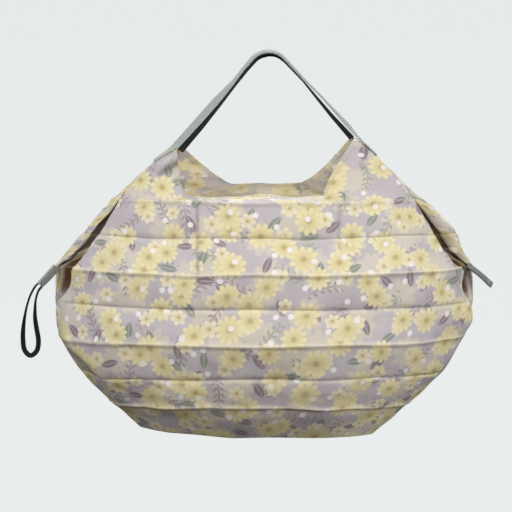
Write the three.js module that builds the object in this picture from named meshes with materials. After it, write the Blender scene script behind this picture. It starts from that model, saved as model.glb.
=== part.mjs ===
// Foldable shopping bag of pleated cloth, filled out and hung from its handle.
// Millimetres. +X is to the right seen from the front, -Y is the front, +Z is up.
// The origin is on the underside of the handle's lining, at the middle of the grip.
import * as THREE from "three";

// Cloth panels
const clothWall = 1.2;
const hemWall = 2.2;
const sewingGap = 0.3;
const panelColumns = 34;
const facetBelly = 1.5;

// Pleats: level folds, one pitch apart, that stand out as ridges or in as valleys
const firstRidgeZ = -170;
const pleatPitch = 40.5;
const baseZ = -443;
const pleatZ = (step) => firstRidgeZ - pleatPitch * step;

// Handle: an outer webbing and a lining, laid on one route and free at their rear edges
const strapWidth = 25;
const strapThickness = 1.6;
const liningThickness = 1.2;
const layerGap = 0.5;
const gripRadius = 23;
const gripHalfAngle = THREE.MathUtils.degToRad(48);
const gripCentre = { x: 2, z: -18.3 };
const strapSteps = 56;

// Pull tabs and the elastic loop
const tabWidth = 12;
const tabThickness = 3.2;
const tabSteps = 8;
const elasticDiameter = 5;
const elasticSides = 8;
const elasticSteps = 34;

// The sewn seam between the panels, a row for each fold from the rim down to the base.
// Its levels are also the levels of the panels' ends.
const seamFolds = [
  { fold: "rim", left: -104, right: 106, zLeft: -109, zRight: -96 },
  { fold: "strap foot", left: -141, right: 140, zLeft: -131, zRight: -126 },
  { fold: "ridge 1", left: -170, right: 171, zLeft: pleatZ(0), zRight: pleatZ(0) },
  { fold: "valley 1", left: -190, right: 190, zLeft: pleatZ(1), zRight: pleatZ(1) },
  { fold: "ridge 2", left: -246, right: 241, zLeft: pleatZ(2), zRight: pleatZ(2) },
  { fold: "valley 2", left: -251, right: 245, zLeft: pleatZ(3), zRight: pleatZ(3) },
  { fold: "ridge 3", left: -246, right: 235, zLeft: pleatZ(4), zRight: pleatZ(4) },
  { fold: "valley 3", left: -223, right: 211, zLeft: pleatZ(5), zRight: pleatZ(5) },
  { fold: "ridge 4", left: -182, right: 172, zLeft: pleatZ(6), zRight: pleatZ(6) },
  { fold: "base edge", left: -149, right: 132, zLeft: baseZ + 3, zRight: baseZ },
  { fold: "base seam", left: -147, right: 130, zLeft: baseZ + 3, zRight: baseZ },
];

// Each panel's folds, in the seam's order. left and right are where its face ends beside the seam,
// edge is how far the face stands from the seam there, depth is how far it bulges at the middle,
// and box sets the plan from a lens (2) to a rounded oblong (6). A fold that climbs to its ends
// has flatLeft and flatRight, the shares of each half that stay level. pocket is how far a tuck
// runs in behind the ends.
const frontFolds = [
  { left: -105, right: 105, z: -165, depth: 26, edge: 11, box: 2.0, flatLeft: 0.78, flatRight: 0.55 },
  { left: -140, right: 139, z: -168, depth: 46, edge: 11, box: 2.2, flatLeft: 0.6, flatRight: 0.45 },
  { left: -175, right: 177, z: pleatZ(0), depth: 66, edge: 9, box: 2.2 },
  { left: -204, right: 206, z: pleatZ(1), depth: 76, edge: 14, box: 2.2 },
  { left: -230, right: 233, z: pleatZ(2), depth: 105, edge: 24, box: 2.3, pocket: 16 },
  { left: -251, right: 248, z: pleatZ(3), depth: 101, edge: 10, box: 2.5 },
  { left: -247, right: 236, z: pleatZ(4), depth: 117, edge: 10, box: 2.8 },
  { left: -223, right: 211, z: pleatZ(5), depth: 101, edge: 18, box: 3.2 },
  { left: -182, right: 172, z: pleatZ(6), depth: 104, edge: 30, box: 4.0 },
  { left: -149, right: 132, z: baseZ, depth: 86, edge: 45, box: 6.0, flatLeft: 0.55, flatRight: 0.55 },
];
const backFolds = [
  { left: -103, right: 103, z: -156, depth: 40, edge: 11, box: 2.0, flatLeft: 0.5, flatRight: 0.42 },
  { left: -140, right: 139, z: -163, depth: 52, edge: 11, box: 2.2, flatLeft: 0.45, flatRight: 0.45 },
  { left: -182, right: 190, z: pleatZ(0), depth: 64, edge: 9, box: 2.2 },
  { left: -216, right: 229, z: pleatZ(1), depth: 76, edge: 12, box: 2.2 },
  { left: -252, right: 246, z: pleatZ(2), depth: 104, edge: 14, box: 2.3 },
  { left: -254, right: 248, z: pleatZ(3), depth: 101, edge: 10, box: 2.5 },
  { left: -247, right: 236, z: pleatZ(4), depth: 115, edge: 10, box: 2.8 },
  { left: -223, right: 211, z: pleatZ(5), depth: 101, edge: 18, box: 3.2 },
  { left: -182, right: 172, z: pleatZ(6), depth: 103, edge: 30, box: 4.0 },
  { left: -149, right: 132, z: baseZ, depth: 86, edge: 45, box: 6.0, flatLeft: 0.55, flatRight: 0.55 },
];

// How far each handle layer leans from level across its width, in degrees, along the handle.
// sink is how far the layer's front edge hangs below the handle's route.
const strapLean = [
  { along: 0.0, lean: 0, sink: 0 },
  { along: 0.06, lean: 5, sink: 0 },
  { along: 0.1, lean: 16, sink: 0 },
  { along: 0.2, lean: 16, sink: 2 },
  { along: 0.28, lean: 20, sink: 3 },
  { along: 0.37, lean: 9, sink: 2.5 },
  { along: 0.44, lean: 8, sink: 0 },
  { along: 0.5, lean: 8, sink: 0 },
  { along: 0.6, lean: 3, sink: -2 },
  { along: 0.72, lean: 0, sink: -3 },
  { along: 0.86, lean: 0, sink: -1 },
  { along: 0.92, lean: 0, sink: 0 },
  { along: 1.0, lean: 0, sink: 0 },
];
const liningLean = [
  { along: 0.112, lean: -19, sink: 0 },
  { along: 0.2, lean: -13, sink: 2 },
  { along: 0.28, lean: -7, sink: 3 },
  { along: 0.37, lean: -7, sink: 2.5 },
  { along: 0.44, lean: -10, sink: 0 },
  { along: 0.5, lean: -14, sink: 0 },
  { along: 0.6, lean: -5, sink: -2 },
  { along: 0.7, lean: -4, sink: 0 },
  { along: 0.8, lean: -6, sink: 2.5 },
  { along: 0.888, lean: -13, sink: 2.5 },
];

// Pull tabs: the middle of the webbing's route and how far it is turned to face the front
const leftTabRoute = [
  { x: -250.8, y: -2.8, z: -250.6, turn: 68 },
  { x: -261.5, y: -3.5, z: -262.4, turn: 64 },
  { x: -271, y: -4, z: -272.5, turn: 68 },
];
const rightTabRoute = [
  { x: 241.6, y: -1.8, z: -250.2, turn: 72 },
  { x: 257, y: -2.5, z: -261.7, turn: 42 },
  { x: 271, y: -2, z: -273.5, turn: 32 },
];

// The elastic loop's route from one corner of the left tab's end round to the other
const elasticRoute = [
  [-273.4, -5.2, -270.6],
  [-276.6, -5.2, -274.0],
  [-280.6, -5, -280.6],
  [-284.4, -5, -288.8],
  [-288.2, -5, -299.6],
  [-291.0, -5, -311.4],
  [-293.0, -5, -325.0],
  [-293.2, -5, -338.0],
  [-290.6, -5, -349.0],
  [-283.6, -5, -355.0],
  [-276.0, -5, -350.0],
  [-273.8, -5, -339.0],
  [-275.6, -5, -326.0],
  [-277.2, -5, -313.0],
  [-277.2, -5, -301.0],
  [-276.4, -4.6, -291.0],
  [-274.6, -3.8, -283.4],
  [-272.2, -3.2, -278.2],
  [-269.0, -2.8, -274.8],
];

const lerp = THREE.MathUtils.lerp;

// The value of a named column of a table, straight between its rows.
function readTable(rows, key, column, at) {
  const after = rows.findIndex((row) => row[key] >= at);
  if (after === 0) return rows[0][column];
  if (after < 0) return rows[rows.length - 1][column];
  const low = rows[after - 1];
  const high = rows[after];
  return lerp(low[column], high[column], (at - low[key]) / (high[key] - low[key]));
}

// A closed mesh from a grid of outer points and the matching grid of inner points.
function wallGeometry(outer, inner) {
  const rows = outer.length;
  const columns = outer[0].length;
  const points = [...outer.flat(), ...inner.flat()];
  const triangles = [];
  const at = (row, column, inside) => (inside ? rows * columns : 0) + row * columns + column;
  const quad = (a, b, c, d) => triangles.push(a, b, c, a, c, d);
  for (let i = 0; i < rows - 1; i++) {
    for (let j = 0; j < columns - 1; j++) {
      quad(at(i, j), at(i + 1, j), at(i + 1, j + 1), at(i, j + 1));
      quad(at(i, j, true), at(i, j + 1, true), at(i + 1, j + 1, true), at(i + 1, j, true));
    }
    quad(at(i, 0), at(i, 0, true), at(i + 1, 0, true), at(i + 1, 0));
    const end = columns - 1;
    quad(at(i, end), at(i + 1, end), at(i + 1, end, true), at(i, end, true));
  }
  for (let j = 0; j < columns - 1; j++) {
    const foot = rows - 1;
    quad(at(0, j), at(0, j + 1), at(0, j + 1, true), at(0, j, true));
    quad(at(foot, j), at(foot, j, true), at(foot, j + 1, true), at(foot, j + 1));
  }
  return new THREE.BufferGeometry().setFromPoints(points).setIndex(triangles);
}

// The points of one fold of a panel, from the left seam to the right seam. side is -1 in front.
function foldLine(panel, seam, side) {
  const { flatLeft = 0, flatRight = 0, pocket = 0 } = panel;
  const points = [];
  const seamY = side * (sewingGap / 2);
  const tuckY = side * panel.edge * 0.4;
  const endZ = (share) => (share < 0 ? seam.zLeft : seam.zRight);
  const tuckX = (end, seamX, inward) => (pocket ? end + inward * pocket : lerp(end, seamX, 0.5));
  points.push(new THREE.Vector3(seam.left, seamY, seam.zLeft));
  points.push(new THREE.Vector3(tuckX(panel.left, seam.left, 1), tuckY, seam.zLeft));
  for (let j = 0; j <= panelColumns; j++) {
    const share = -1 + (2 * j) / panelColumns;
    const out = Math.abs(share);
    const flat = share < 0 ? flatLeft : flatRight;
    const climb = Math.max(0, (out - flat) / (1 - flat)) ** 1.5;
    const bulge = panel.edge + (panel.depth - panel.edge) * (1 - out ** panel.box);
    points.push(
      new THREE.Vector3(
        lerp(panel.left, panel.right, j / panelColumns),
        side * bulge,
        lerp(panel.z, endZ(share), climb),
      ),
    );
  }
  points.push(new THREE.Vector3(tuckX(panel.right, seam.right, -1), tuckY, seam.zRight));
  points.push(new THREE.Vector3(seam.right, seamY, seam.zRight));
  return points;
}

// The line half way down a facet, swelled out a little between its two folds.
function facetMiddle(upper, lower, side) {
  return upper.map((point, j) => {
    const middle = point.clone().lerp(lower[j], 0.5);
    const atSeam = j < 2 || j > upper.length - 3;
    if (!atSeam) middle.y += side * facetBelly;
    return middle;
  });
}

// One cloth panel: a thin wall through its folds, thicker along the hemmed rim.
function panelGeometry(folds, side) {
  const lines = folds.map((panel, i) => foldLine(panel, seamFolds[i], side));
  const baseSeam = seamFolds[seamFolds.length - 1];
  const baseEdge = lines[lines.length - 1];
  const last = baseEdge.length - 1;
  lines.push(
    baseEdge.map((point, j) => {
      const z = j === 0 || j === last ? point.z : Math.min(point.z, baseZ + 3);
      const x = THREE.MathUtils.clamp(point.x, baseSeam.left, baseSeam.right);
      return new THREE.Vector3(x, side * (sewingGap / 2), z);
    }),
  );
  const outer = [];
  lines.forEach((line, i) => {
    outer.push(line);
    const facetBelow = i >= 1 && i < lines.length - 2;
    if (facetBelow) outer.push(facetMiddle(line, lines[i + 1], side));
  });
  return wallFromOuter(side < 0 ? outer : outer.map((line) => [...line].reverse()), side);
}

// The inner face follows the outer one at the wall's thickness and stays on its side of the seam.
function wallFromOuter(outer, side) {
  const columns = outer[0].length;
  const skin = new THREE.BufferGeometry().setFromPoints(outer.flat());
  const triangles = [];
  for (let i = 0; i < outer.length - 1; i++) {
    for (let j = 0; j < columns - 1; j++) {
      const a = i * columns + j;
      triangles.push(a, a + columns, a + columns + 1, a, a + columns + 1, a + 1);
    }
  }
  skin.setIndex(triangles);
  skin.computeVertexNormals();
  const normals = skin.getAttribute("normal");
  const inner = outer.map((line, i) =>
    line.map((point, j) => {
      const normal = new THREE.Vector3().fromBufferAttribute(normals, i * columns + j);
      const thickness = i === 0 ? hemWall : clothWall;
      const moved = point.clone().addScaledVector(normal, -thickness);
      moved.y = side * Math.max(side * moved.y, sewingGap / 2);
      return moved;
    }),
  );
  return wallGeometry(outer, inner);
}

// A flat band through stations of four corners each, closed at both ends.
function bandGeometry(stations) {
  const points = stations.flat();
  const triangles = [];
  const quad = (a, b, c, d) => triangles.push(a, b, c, a, c, d);
  for (let i = 0; i < stations.length - 1; i++) {
    for (let k = 0; k < 4; k++) {
      const next = (k + 1) % 4;
      quad(4 * i + k, 4 * i + next, 4 * i + 4 + next, 4 * i + 4 + k);
    }
  }
  const last = 4 * (stations.length - 1);
  quad(0, 3, 2, 1);
  quad(last, last + 1, last + 2, last + 3);
  return new THREE.BufferGeometry().setFromPoints(points).setIndex(triangles);
}

// The handle's route in the X-Z plane: a sewn foot, a leg, the grip's arc, a leg and a foot.
function handleRoute() {
  const footLift = layerGap + 0.2;
  const rim = seamFolds[0];
  const foot = seamFolds[1];
  const footShare = 0.86;
  const route = new THREE.Path();
  route.moveTo(lerp(rim.left, foot.left, footShare), lerp(rim.zLeft, foot.zLeft, footShare) + footLift);
  route.lineTo(rim.left - 1, rim.zLeft + footLift + 0.6);
  const start = Math.PI / 2 + gripHalfAngle;
  route.absarc(gripCentre.x, gripCentre.z, gripRadius, start, Math.PI / 2 - gripHalfAngle, true);
  route.lineTo(rim.right + 1, rim.zRight + footLift + 0.6);
  route.lineTo(lerp(rim.right, foot.right, footShare), lerp(rim.zRight, foot.zRight, footShare) + footLift);
  return route;
}

// One layer of the handle between two shares of the route. outward is 1 above the route, -1 below.
function handleLayer(from, to, thickness, outward, leanAt, sinkAt) {
  const route = handleRoute();
  const stations = [];
  for (let i = 0; i <= strapSteps; i++) {
    const along = lerp(from, to, i / strapSteps);
    const place = route.getPointAt(along);
    const tangent = route.getTangentAt(along);
    const out = new THREE.Vector3(-tangent.y, 0, tangent.x);
    const lean = THREE.MathUtils.degToRad(leanAt(along));
    const across = new THREE.Vector3(0, Math.cos(lean), 0).addScaledVector(out, Math.sin(lean));
    const through = new THREE.Vector3(0, -Math.sin(lean), 0).addScaledVector(out, Math.cos(lean));
    const front = new THREE.Vector3(place.x, -strapWidth / 2, place.y).addScaledVector(out, -sinkAt(along));
    const near = outward > 0 ? 0 : -layerGap - thickness;
    const corner = (width, height) =>
      front.clone().addScaledVector(across, width).addScaledVector(through, height);
    stations.push([
      corner(0, near),
      corner(strapWidth, near),
      corner(strapWidth, near + thickness),
      corner(0, near + thickness),
    ]);
  }
  return bandGeometry(stations);
}

// A pull tab of doubled webbing along its route, turning as it goes.
function tabGeometry(rows) {
  const route = new THREE.CatmullRomCurve3(rows.map((row) => new THREE.Vector3(row.x, row.y, row.z)));
  const stations = [];
  for (let i = 0; i <= tabSteps; i++) {
    const share = i / tabSteps;
    const place = route.getPointAt(share);
    const tangent = route.getTangentAt(share);
    const table = rows.map((row, k) => ({ share: k / (rows.length - 1), turn: row.turn }));
    const turn = THREE.MathUtils.degToRad(readTable(table, "share", "turn", share));
    const up = new THREE.Vector3().crossVectors(tangent, new THREE.Vector3(0, 1, 0)).normalize();
    const level = new THREE.Vector3().crossVectors(up, tangent).normalize();
    const across = level.clone().multiplyScalar(Math.cos(turn)).addScaledVector(up, Math.sin(turn));
    const through = new THREE.Vector3().crossVectors(tangent, across);
    const corner = (width, height) =>
      place.clone().addScaledVector(across, width).addScaledVector(through, height);
    stations.push([
      corner(-tabWidth / 2, -tabThickness / 2),
      corner(tabWidth / 2, -tabThickness / 2),
      corner(tabWidth / 2, tabThickness / 2),
      corner(-tabWidth / 2, tabThickness / 2),
    ]);
  }
  return bandGeometry(stations);
}

// The elastic loop as a round cord along its route.
function elasticGeometry() {
  const section = new THREE.Shape();
  for (let k = 0; k < elasticSides; k++) {
    const angle = (2 * Math.PI * k) / elasticSides;
    const x = (Math.cos(angle) * elasticDiameter) / 2;
    const y = (Math.sin(angle) * elasticDiameter) / 2;
    if (k === 0) section.moveTo(x, y);
    else section.lineTo(x, y);
  }
  const route = new THREE.CatmullRomCurve3(elasticRoute.map((point) => new THREE.Vector3(...point)));
  return new THREE.ExtrudeGeometry(section, { steps: elasticSteps, extrudePath: route });
}

const printedCloth = new THREE.MeshStandardMaterial({ color: 0xd3cba9, roughness: 0.8 });
const greyWebbing = new THREE.MeshStandardMaterial({ color: 0xa9afaa, roughness: 0.75 });
const blackWebbing = new THREE.MeshStandardMaterial({ color: 0x23282a, roughness: 0.8 });
const darkTab = new THREE.MeshStandardMaterial({ color: 0x828b85, roughness: 0.75 });
const blackElastic = new THREE.MeshStandardMaterial({ color: 0x17181a, roughness: 0.7 });

const bag = new THREE.Group();
function addPiece(name, geometry, material) {
  const piece = new THREE.Mesh(geometry, material);
  piece.name = name;
  bag.add(piece);
}

const liningFrom = liningLean[0].along;
const liningTo = liningLean[liningLean.length - 1].along;
const strapLeanAt = (along) => readTable(strapLean, "along", "lean", along);
const strapSinkAt = (along) => readTable(strapLean, "along", "sink", along);
const liningLeanAt = (along) => readTable(liningLean, "along", "lean", along);
const liningSinkAt = (along) => readTable(liningLean, "along", "sink", along);

addPiece("front_panel", panelGeometry(frontFolds, -1), printedCloth);
addPiece("back_panel", panelGeometry(backFolds, 1), printedCloth);
addPiece("handle_strap", handleLayer(0, 1, strapThickness, 1, strapLeanAt, strapSinkAt), greyWebbing);
addPiece(
  "handle_lining",
  handleLayer(liningFrom, liningTo, liningThickness, -1, liningLeanAt, liningSinkAt),
  blackWebbing,
);
addPiece("left_tab", tabGeometry(leftTabRoute), greyWebbing);
addPiece("right_tab", tabGeometry(rightTabRoute), darkTab);
addPiece("elastic_loop", elasticGeometry(), blackElastic);

export default bag;
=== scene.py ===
import math

import bpy
import numpy as np
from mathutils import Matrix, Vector


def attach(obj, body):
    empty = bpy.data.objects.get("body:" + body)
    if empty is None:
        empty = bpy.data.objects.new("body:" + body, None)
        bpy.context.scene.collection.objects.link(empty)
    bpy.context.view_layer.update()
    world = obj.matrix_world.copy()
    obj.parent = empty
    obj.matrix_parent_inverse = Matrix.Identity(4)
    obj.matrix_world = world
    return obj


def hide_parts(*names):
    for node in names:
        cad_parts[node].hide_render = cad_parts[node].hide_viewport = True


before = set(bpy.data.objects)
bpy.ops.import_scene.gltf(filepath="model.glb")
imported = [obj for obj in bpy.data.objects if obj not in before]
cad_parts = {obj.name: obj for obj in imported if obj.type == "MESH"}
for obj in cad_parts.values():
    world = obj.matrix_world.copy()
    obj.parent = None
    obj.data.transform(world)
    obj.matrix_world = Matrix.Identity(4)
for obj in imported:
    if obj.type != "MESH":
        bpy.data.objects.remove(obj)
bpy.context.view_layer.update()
mm = 0.001
scene = bpy.context.scene
scene.view_settings.view_transform = "Standard"

# the photograph looks slightly down on the hanging bag, through a long lens
studio = {
    "aim": (-0.012, 0.0, -0.238),
    "elevation": 5.0,
    "distance": 2.5,
    "frameWidth": 0.6144,
    "sensor": 36.0,
    "paper": "e9edec",
    "floorLevel": -2.4,
    "coveRadius": 4.5,
    "coveBend": 0.9,
    "coveHeight": 4.0,
    "coveSides": 96,
    # glow of the paper: height low and high, strength there
    "paperGlow": (-1.6, 0.1, 0.955, 0.915),
    # radiance of the studio air below and above the bag
    "air": ("f6f7ff", 0.03, 0.55),
    "airSpan": (-0.45, 0.4),
    # place, size, watts, colour
    "lights": {
        "softboxAbove": ((0.1, -1.7, 0.55), 1.1, 17.5, "fffaf0"),
        "fillRight": ((1.7, -1.0, 0.35), 1.0, 19.0, "ffffff"),
        "fillLeft": ((-1.6, -0.9, 1.2), 1.0, 24.0, "ffffff"),
        "softboxBehind": ((0.0, 1.9, 0.55), 1.2, 36.0, "ffffff"),
    },
}


def linear(hexColour):
    parts = [int(hexColour[i:i + 2], 16) / 255 for i in (0, 2, 4)]
    bent = [c / 12.92 if c <= 0.04045 else ((c + 0.055) / 1.055) ** 2.4 for c in parts]
    return (*bent, 1.0)


# adds a node, sets its properties, and fills or links its inputs
def addNode(tree, kind, settings=None, inputs=None):
    node = tree.nodes.new(kind)
    for key, value in (settings or {}).items():
        setattr(node, key, value)
    for key, value in (inputs or {}).items():
        if isinstance(value, bpy.types.NodeSocket):
            tree.links.new(value, node.inputs[key])
        else:
            node.inputs[key].default_value = value
    return node


def mathOf(tree, operation, *values, clamp=False):
    settings = {"operation": operation, "use_clamp": clamp}
    return addNode(tree, "ShaderNodeMath", settings, dict(enumerate(values))).outputs[0]


# mixes two colours, each a hex colour or a link
def blendOf(tree, share, first, second):
    first, second = (linear(c) if isinstance(c, str) else c for c in (first, second))
    return addNode(tree, "ShaderNodeMix", {"data_type": "RGBA"}, {
        0: share, 6: first, 7: second}).outputs[2]


def rangeOf(tree, value, fromMin, fromMax, toMin, toMax, kind="LINEAR"):
    return addNode(tree, "ShaderNodeMapRange", {"interpolation_type": kind}, {
        "Value": value, "From Min": fromMin, "From Max": fromMax,
        "To Min": toMin, "To Max": toMax}).outputs[0]


def smoothOf(tree, value, fromMin, fromMax, toMin, toMax):
    return rangeOf(tree, value, fromMin, fromMax, toMin, toMax, "SMOOTHSTEP")


def noiseOf(tree, where, size, detail, roughness=0.5):
    return addNode(tree, "ShaderNodeTexNoise", inputs={
        "Vector": where, "Scale": 1 / (size * mm), "Detail": detail, "Roughness": roughness}).outputs[0]


# a wave texture has 20 bands in 2 pi at scale 1
def bandsOf(tree, where, direction, pitch, distortion=0.0):
    return addNode(tree, "ShaderNodeTexWave", {"bands_direction": direction}, {
        "Vector": where, "Scale": 2 * math.pi / (20 * pitch * mm), "Distortion": distortion}).outputs[1]


def newMaterial(name):
    material = bpy.data.materials.new(name)
    material.use_nodes = True
    material.node_tree.nodes.clear()
    return material, material.node_tree


def linkObject(name, mesh):
    piece = bpy.data.objects.new(name, mesh)
    scene.collection.objects.link(piece)
    return piece


def meshPiece(name, points, faces, materials, flat=None):
    mesh = bpy.data.meshes.new(name)
    mesh.from_pydata([tuple(p) for p in points], [], faces)
    for material in materials:
        mesh.materials.append(material)
    if flat is not None:
        layer = mesh.uv_layers.new(name="clothFlat")
        corner = np.zeros(len(mesh.loops), dtype=np.int32)
        mesh.loops.foreach_get("vertex_index", corner)
        layer.data.foreach_set("uv", np.asarray(flat)[corner].astype(np.float32).ravel())
    mesh.shade_smooth()
    mesh.update()
    return linkObject(name, mesh)


# hides the CAD part that a piece stands in for, and hangs the piece on the root body
def dress(piece, node):
    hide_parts(node)
    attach(piece, "root")


# the faces between closed rings of points
def ringFaces(rings, sides):
    faces = []
    for i in range(rings - 1):
        for k in range(sides):
            n = (k + 1) % sides
            faces.append((i * sides + k, i * sides + n, (i + 1) * sides + n, (i + 1) * sides + k))
    return faces


def setCamera():
    lens = bpy.data.cameras.new("photoCamera")
    lens.sensor_width = studio["sensor"]
    lens.lens = studio["sensor"] * studio["distance"] / studio["frameWidth"]
    lens.clip_end = 50
    tilt = math.radians(studio["elevation"])
    aim = Vector(studio["aim"])
    camera = linkObject("photoCamera", lens)
    camera.location = aim + studio["distance"] * Vector((0, -math.cos(tilt), math.sin(tilt)))
    camera.rotation_euler = (aim - camera.location).to_track_quat("-Z", "Y").to_euler()
    scene.camera = camera


def setStudio():
    # matt paper cove, lit on its own so that it stays pale and even; it throws no light on the bag
    paper, tree = newMaterial("seamlessPaper")
    grain = addNode(tree, "ShaderNodeTexNoise", inputs={"Scale": 900.0, "Detail": 2.0})
    bump = addNode(tree, "ShaderNodeBump", inputs={"Strength": 0.02, "Height": grain.outputs[0]})
    where = addNode(tree, "ShaderNodeTexCoord")
    height = addNode(tree, "ShaderNodeSeparateXYZ", inputs={0: where.outputs["Object"]})
    glow = rangeOf(tree, height.outputs[2], *studio["paperGlow"])
    shader = addNode(tree, "ShaderNodeBsdfPrincipled", inputs={
        "Base Color": (0.12, 0.12, 0.12, 1.0), "Roughness": 0.95, "Specular IOR Level": 0.0,
        "Emission Color": linear(studio["paper"]), "Emission Strength": glow,
        "Normal": bump.outputs[0]})
    addNode(tree, "ShaderNodeOutputMaterial", inputs={"Surface": shader.outputs[0]})
    level, radius, bend = studio["floorLevel"], studio["coveRadius"], studio["coveBend"]
    profile = [(0.01, level), (radius - bend, level)]
    profile += [(radius - bend + bend * math.sin(a), level + bend - bend * math.cos(a))
                for a in np.linspace(0, math.pi / 2, 17)[1:]]
    profile += [(radius, studio["coveHeight"])]
    around = studio["coveSides"]
    points = [(r * math.cos(2 * math.pi * k / around), r * math.sin(2 * math.pi * k / around), z)
              for r, z in profile for k in range(around)]
    faces = ringFaces(len(profile), around) + [tuple(range(around))]
    cove = meshPiece("paperCove", points, faces, [paper])
    cove.visible_diffuse = False
    cove.visible_glossy = False
    cove.visible_shadow = False
    world = bpy.data.worlds.new("studioAir")
    scene.world = world
    world.use_nodes = True
    tree = world.node_tree
    colour, low, high = studio["air"]
    where = addNode(tree, "ShaderNodeTexCoord")
    height = addNode(tree, "ShaderNodeSeparateXYZ", inputs={0: where.outputs["Generated"]})
    strength = smoothOf(tree, height.outputs[2], *studio["airSpan"], low, high)
    sky = tree.nodes["Background"]
    sky.inputs["Color"].default_value = linear(colour)
    tree.links.new(strength, sky.inputs["Strength"])
    for name, (place, size, watts, colour) in studio["lights"].items():
        lamp = bpy.data.lights.new(name, "AREA")
        lamp.size = size
        lamp.energy = watts
        lamp.color = linear(colour)[:3]
        holder = linkObject(name, lamp)
        holder.location = place
        aim = Vector(studio["aim"]) - Vector(place)
        holder.rotation_euler = aim.to_track_quat("-Z", "Y").to_euler()


setCamera()
setStudio()
print("stage: camera, sweep and lights set")

# shared shape helpers


def lerp(a, b, t):
    return a + (b - a) * t


def unit(vectors):
    return vectors / np.maximum(np.linalg.norm(vectors, axis=-1, keepdims=True), 1e-9)


# smooth rolling noise with a given wavelength, the same on each run
def rolling(u, v, size, seed, waves=7):
    draw = np.random.default_rng(seed)
    total = np.zeros_like(u)
    for _ in range(waves):
        angle, phase = draw.uniform(0, 2 * math.pi, 2)
        reach = 2 * math.pi / (size * draw.uniform(0.7, 1.5))
        total += np.sin(reach * (u * math.cos(angle) + v * math.sin(angle)) + phase)
    return total / math.sqrt(waves)


# a smooth line through route points, evenly spaced
def smoothRoute(route, count, perSpan=24):
    keys = np.asarray(route, dtype=float)
    keys = np.vstack([2 * keys[0] - keys[1], keys, 2 * keys[-1] - keys[-2]])
    line = []
    for i in range(1, len(keys) - 2):
        a, b, c, d = keys[i - 1:i + 3]
        for t in np.linspace(0, 1, perSpan, endpoint=False):
            line.append(0.5 * (2 * b + (c - a) * t + (2 * a - 5 * b + 4 * c - d) * t ** 2
                               + (3 * b - a - 3 * c + d) * t ** 3))
    line.append(keys[-2])
    return evenLine(np.array(line), count)


def lineLength(line):
    return np.concatenate([[0], np.cumsum(np.linalg.norm(np.diff(line, axis=0), axis=1))])


def evenLine(line, count):
    reach = lineLength(line)
    at = np.linspace(0, reach[-1], count)
    return np.stack([np.interp(at, reach, line[:, k]) for k in range(line.shape[1])], axis=1)


# a closed band: one ring of profile points at each station, with both ends capped
def bandPiece(name, rings, lengths, acrossFlat, material):
    stations, sides = rings.shape[:2]
    faces = ringFaces(stations, sides)
    faces.append(tuple(reversed(range(sides))))
    faces.append(tuple(range((stations - 1) * sides, stations * sides)))
    flat = np.stack([np.repeat(lengths, sides), np.tile(acrossFlat, stations)], axis=1)
    return meshPiece(name, (rings * mm).reshape(-1, 3), faces, [material], flat * mm)


# the rings of a band: its section laid across the line at each station
def bandRings(line, section, across, through):
    return line[:, None] + section[None, :, :1] * across[:, None] + section[None, :, 1:] * through[:, None]


# a webbing section: flat faces with rounded woven edges, across from 0 to width
def webbingSection(width, thickness, steps, edgeSteps=7):
    half = thickness / 2
    flat, turn = np.linspace(half, width - half, steps), np.linspace(0, math.pi, edgeSteps)[1:-1]
    top = [(a, half) for a in flat]
    nose = [(width - half + half * math.sin(t), half * math.cos(t)) for t in turn]
    under = [(a, -half) for a in flat[::-1]]
    tail = [(half - half * math.sin(t), -half * math.cos(t)) for t in turn]
    return np.array(top + nose + under + tail)


# materials

# woven webbing: crosswise ribs of thick yarn between two selvedges, matt and slightly heathered
def webbingMaterial(name, light, dark, ribPitch, roughness, sheen):
    material, tree = newMaterial(name)
    flat = addNode(tree, "ShaderNodeUVMap", {"uv_map": "clothFlat"}).outputs[0]
    ribs = addNode(tree, "ShaderNodeTexWave", {"bands_direction": "X"}, {
        "Vector": flat, "Scale": 2 * math.pi / (20 * ribPitch * mm),
        "Distortion": 0.6, "Detail": 1.0, "Detail Scale": 1.0}).outputs[1]
    yarns = bandsOf(tree, flat, "Y", 1.3 * ribPitch)
    weave = mathOf(tree, "MULTIPLY_ADD", ribs, 0.7, yarns)
    heather = noiseOf(tree, flat, 6.0, 1.0)
    mottle = mathOf(tree, "MULTIPLY_ADD", heather, 0.35, rangeOf(tree, weave, 0.2, 1.5, 0.15, 0.5))
    colour = blendOf(tree, mottle, dark, light)
    bump = addNode(tree, "ShaderNodeBump", inputs={"Strength": 0.01, "Distance": 0.4 * mm, "Height": weave})
    shader = addNode(tree, "ShaderNodeBsdfPrincipled", inputs={
        "Base Color": colour, "Roughness": roughness, "Specular IOR Level": 0.15,
        "Sheen Weight": sheen, "Sheen Roughness": 0.5, "Normal": bump.outputs[0]})
    addNode(tree, "ShaderNodeOutputMaterial", inputs={"Surface": shader.outputs[0]})
    return material


greyWebbing = webbingMaterial("polyesterWebbingSageGrey", "a8aea9", "8c938e", 1.6, 0.85, 0.02)
blackWebbing = webbingMaterial("polyesterWebbingBlack", "303536", "1c2122", 1.4, 0.8, 0.02)
# a darker copy of the sage webbing, used only for the right tab
darkWebbing = webbingMaterial("polyesterWebbingDarkSage", "767e78", "4d5550", 1.6, 0.72, 0.1)
elasticBraid = webbingMaterial("braidedElasticBlack", "202123", "0b0c0d", 1.2, 0.6, 0.02)
print("stage: webbing and elastic materials ready")

# the elastic loop, a flat braid that hangs from the left tab

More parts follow.
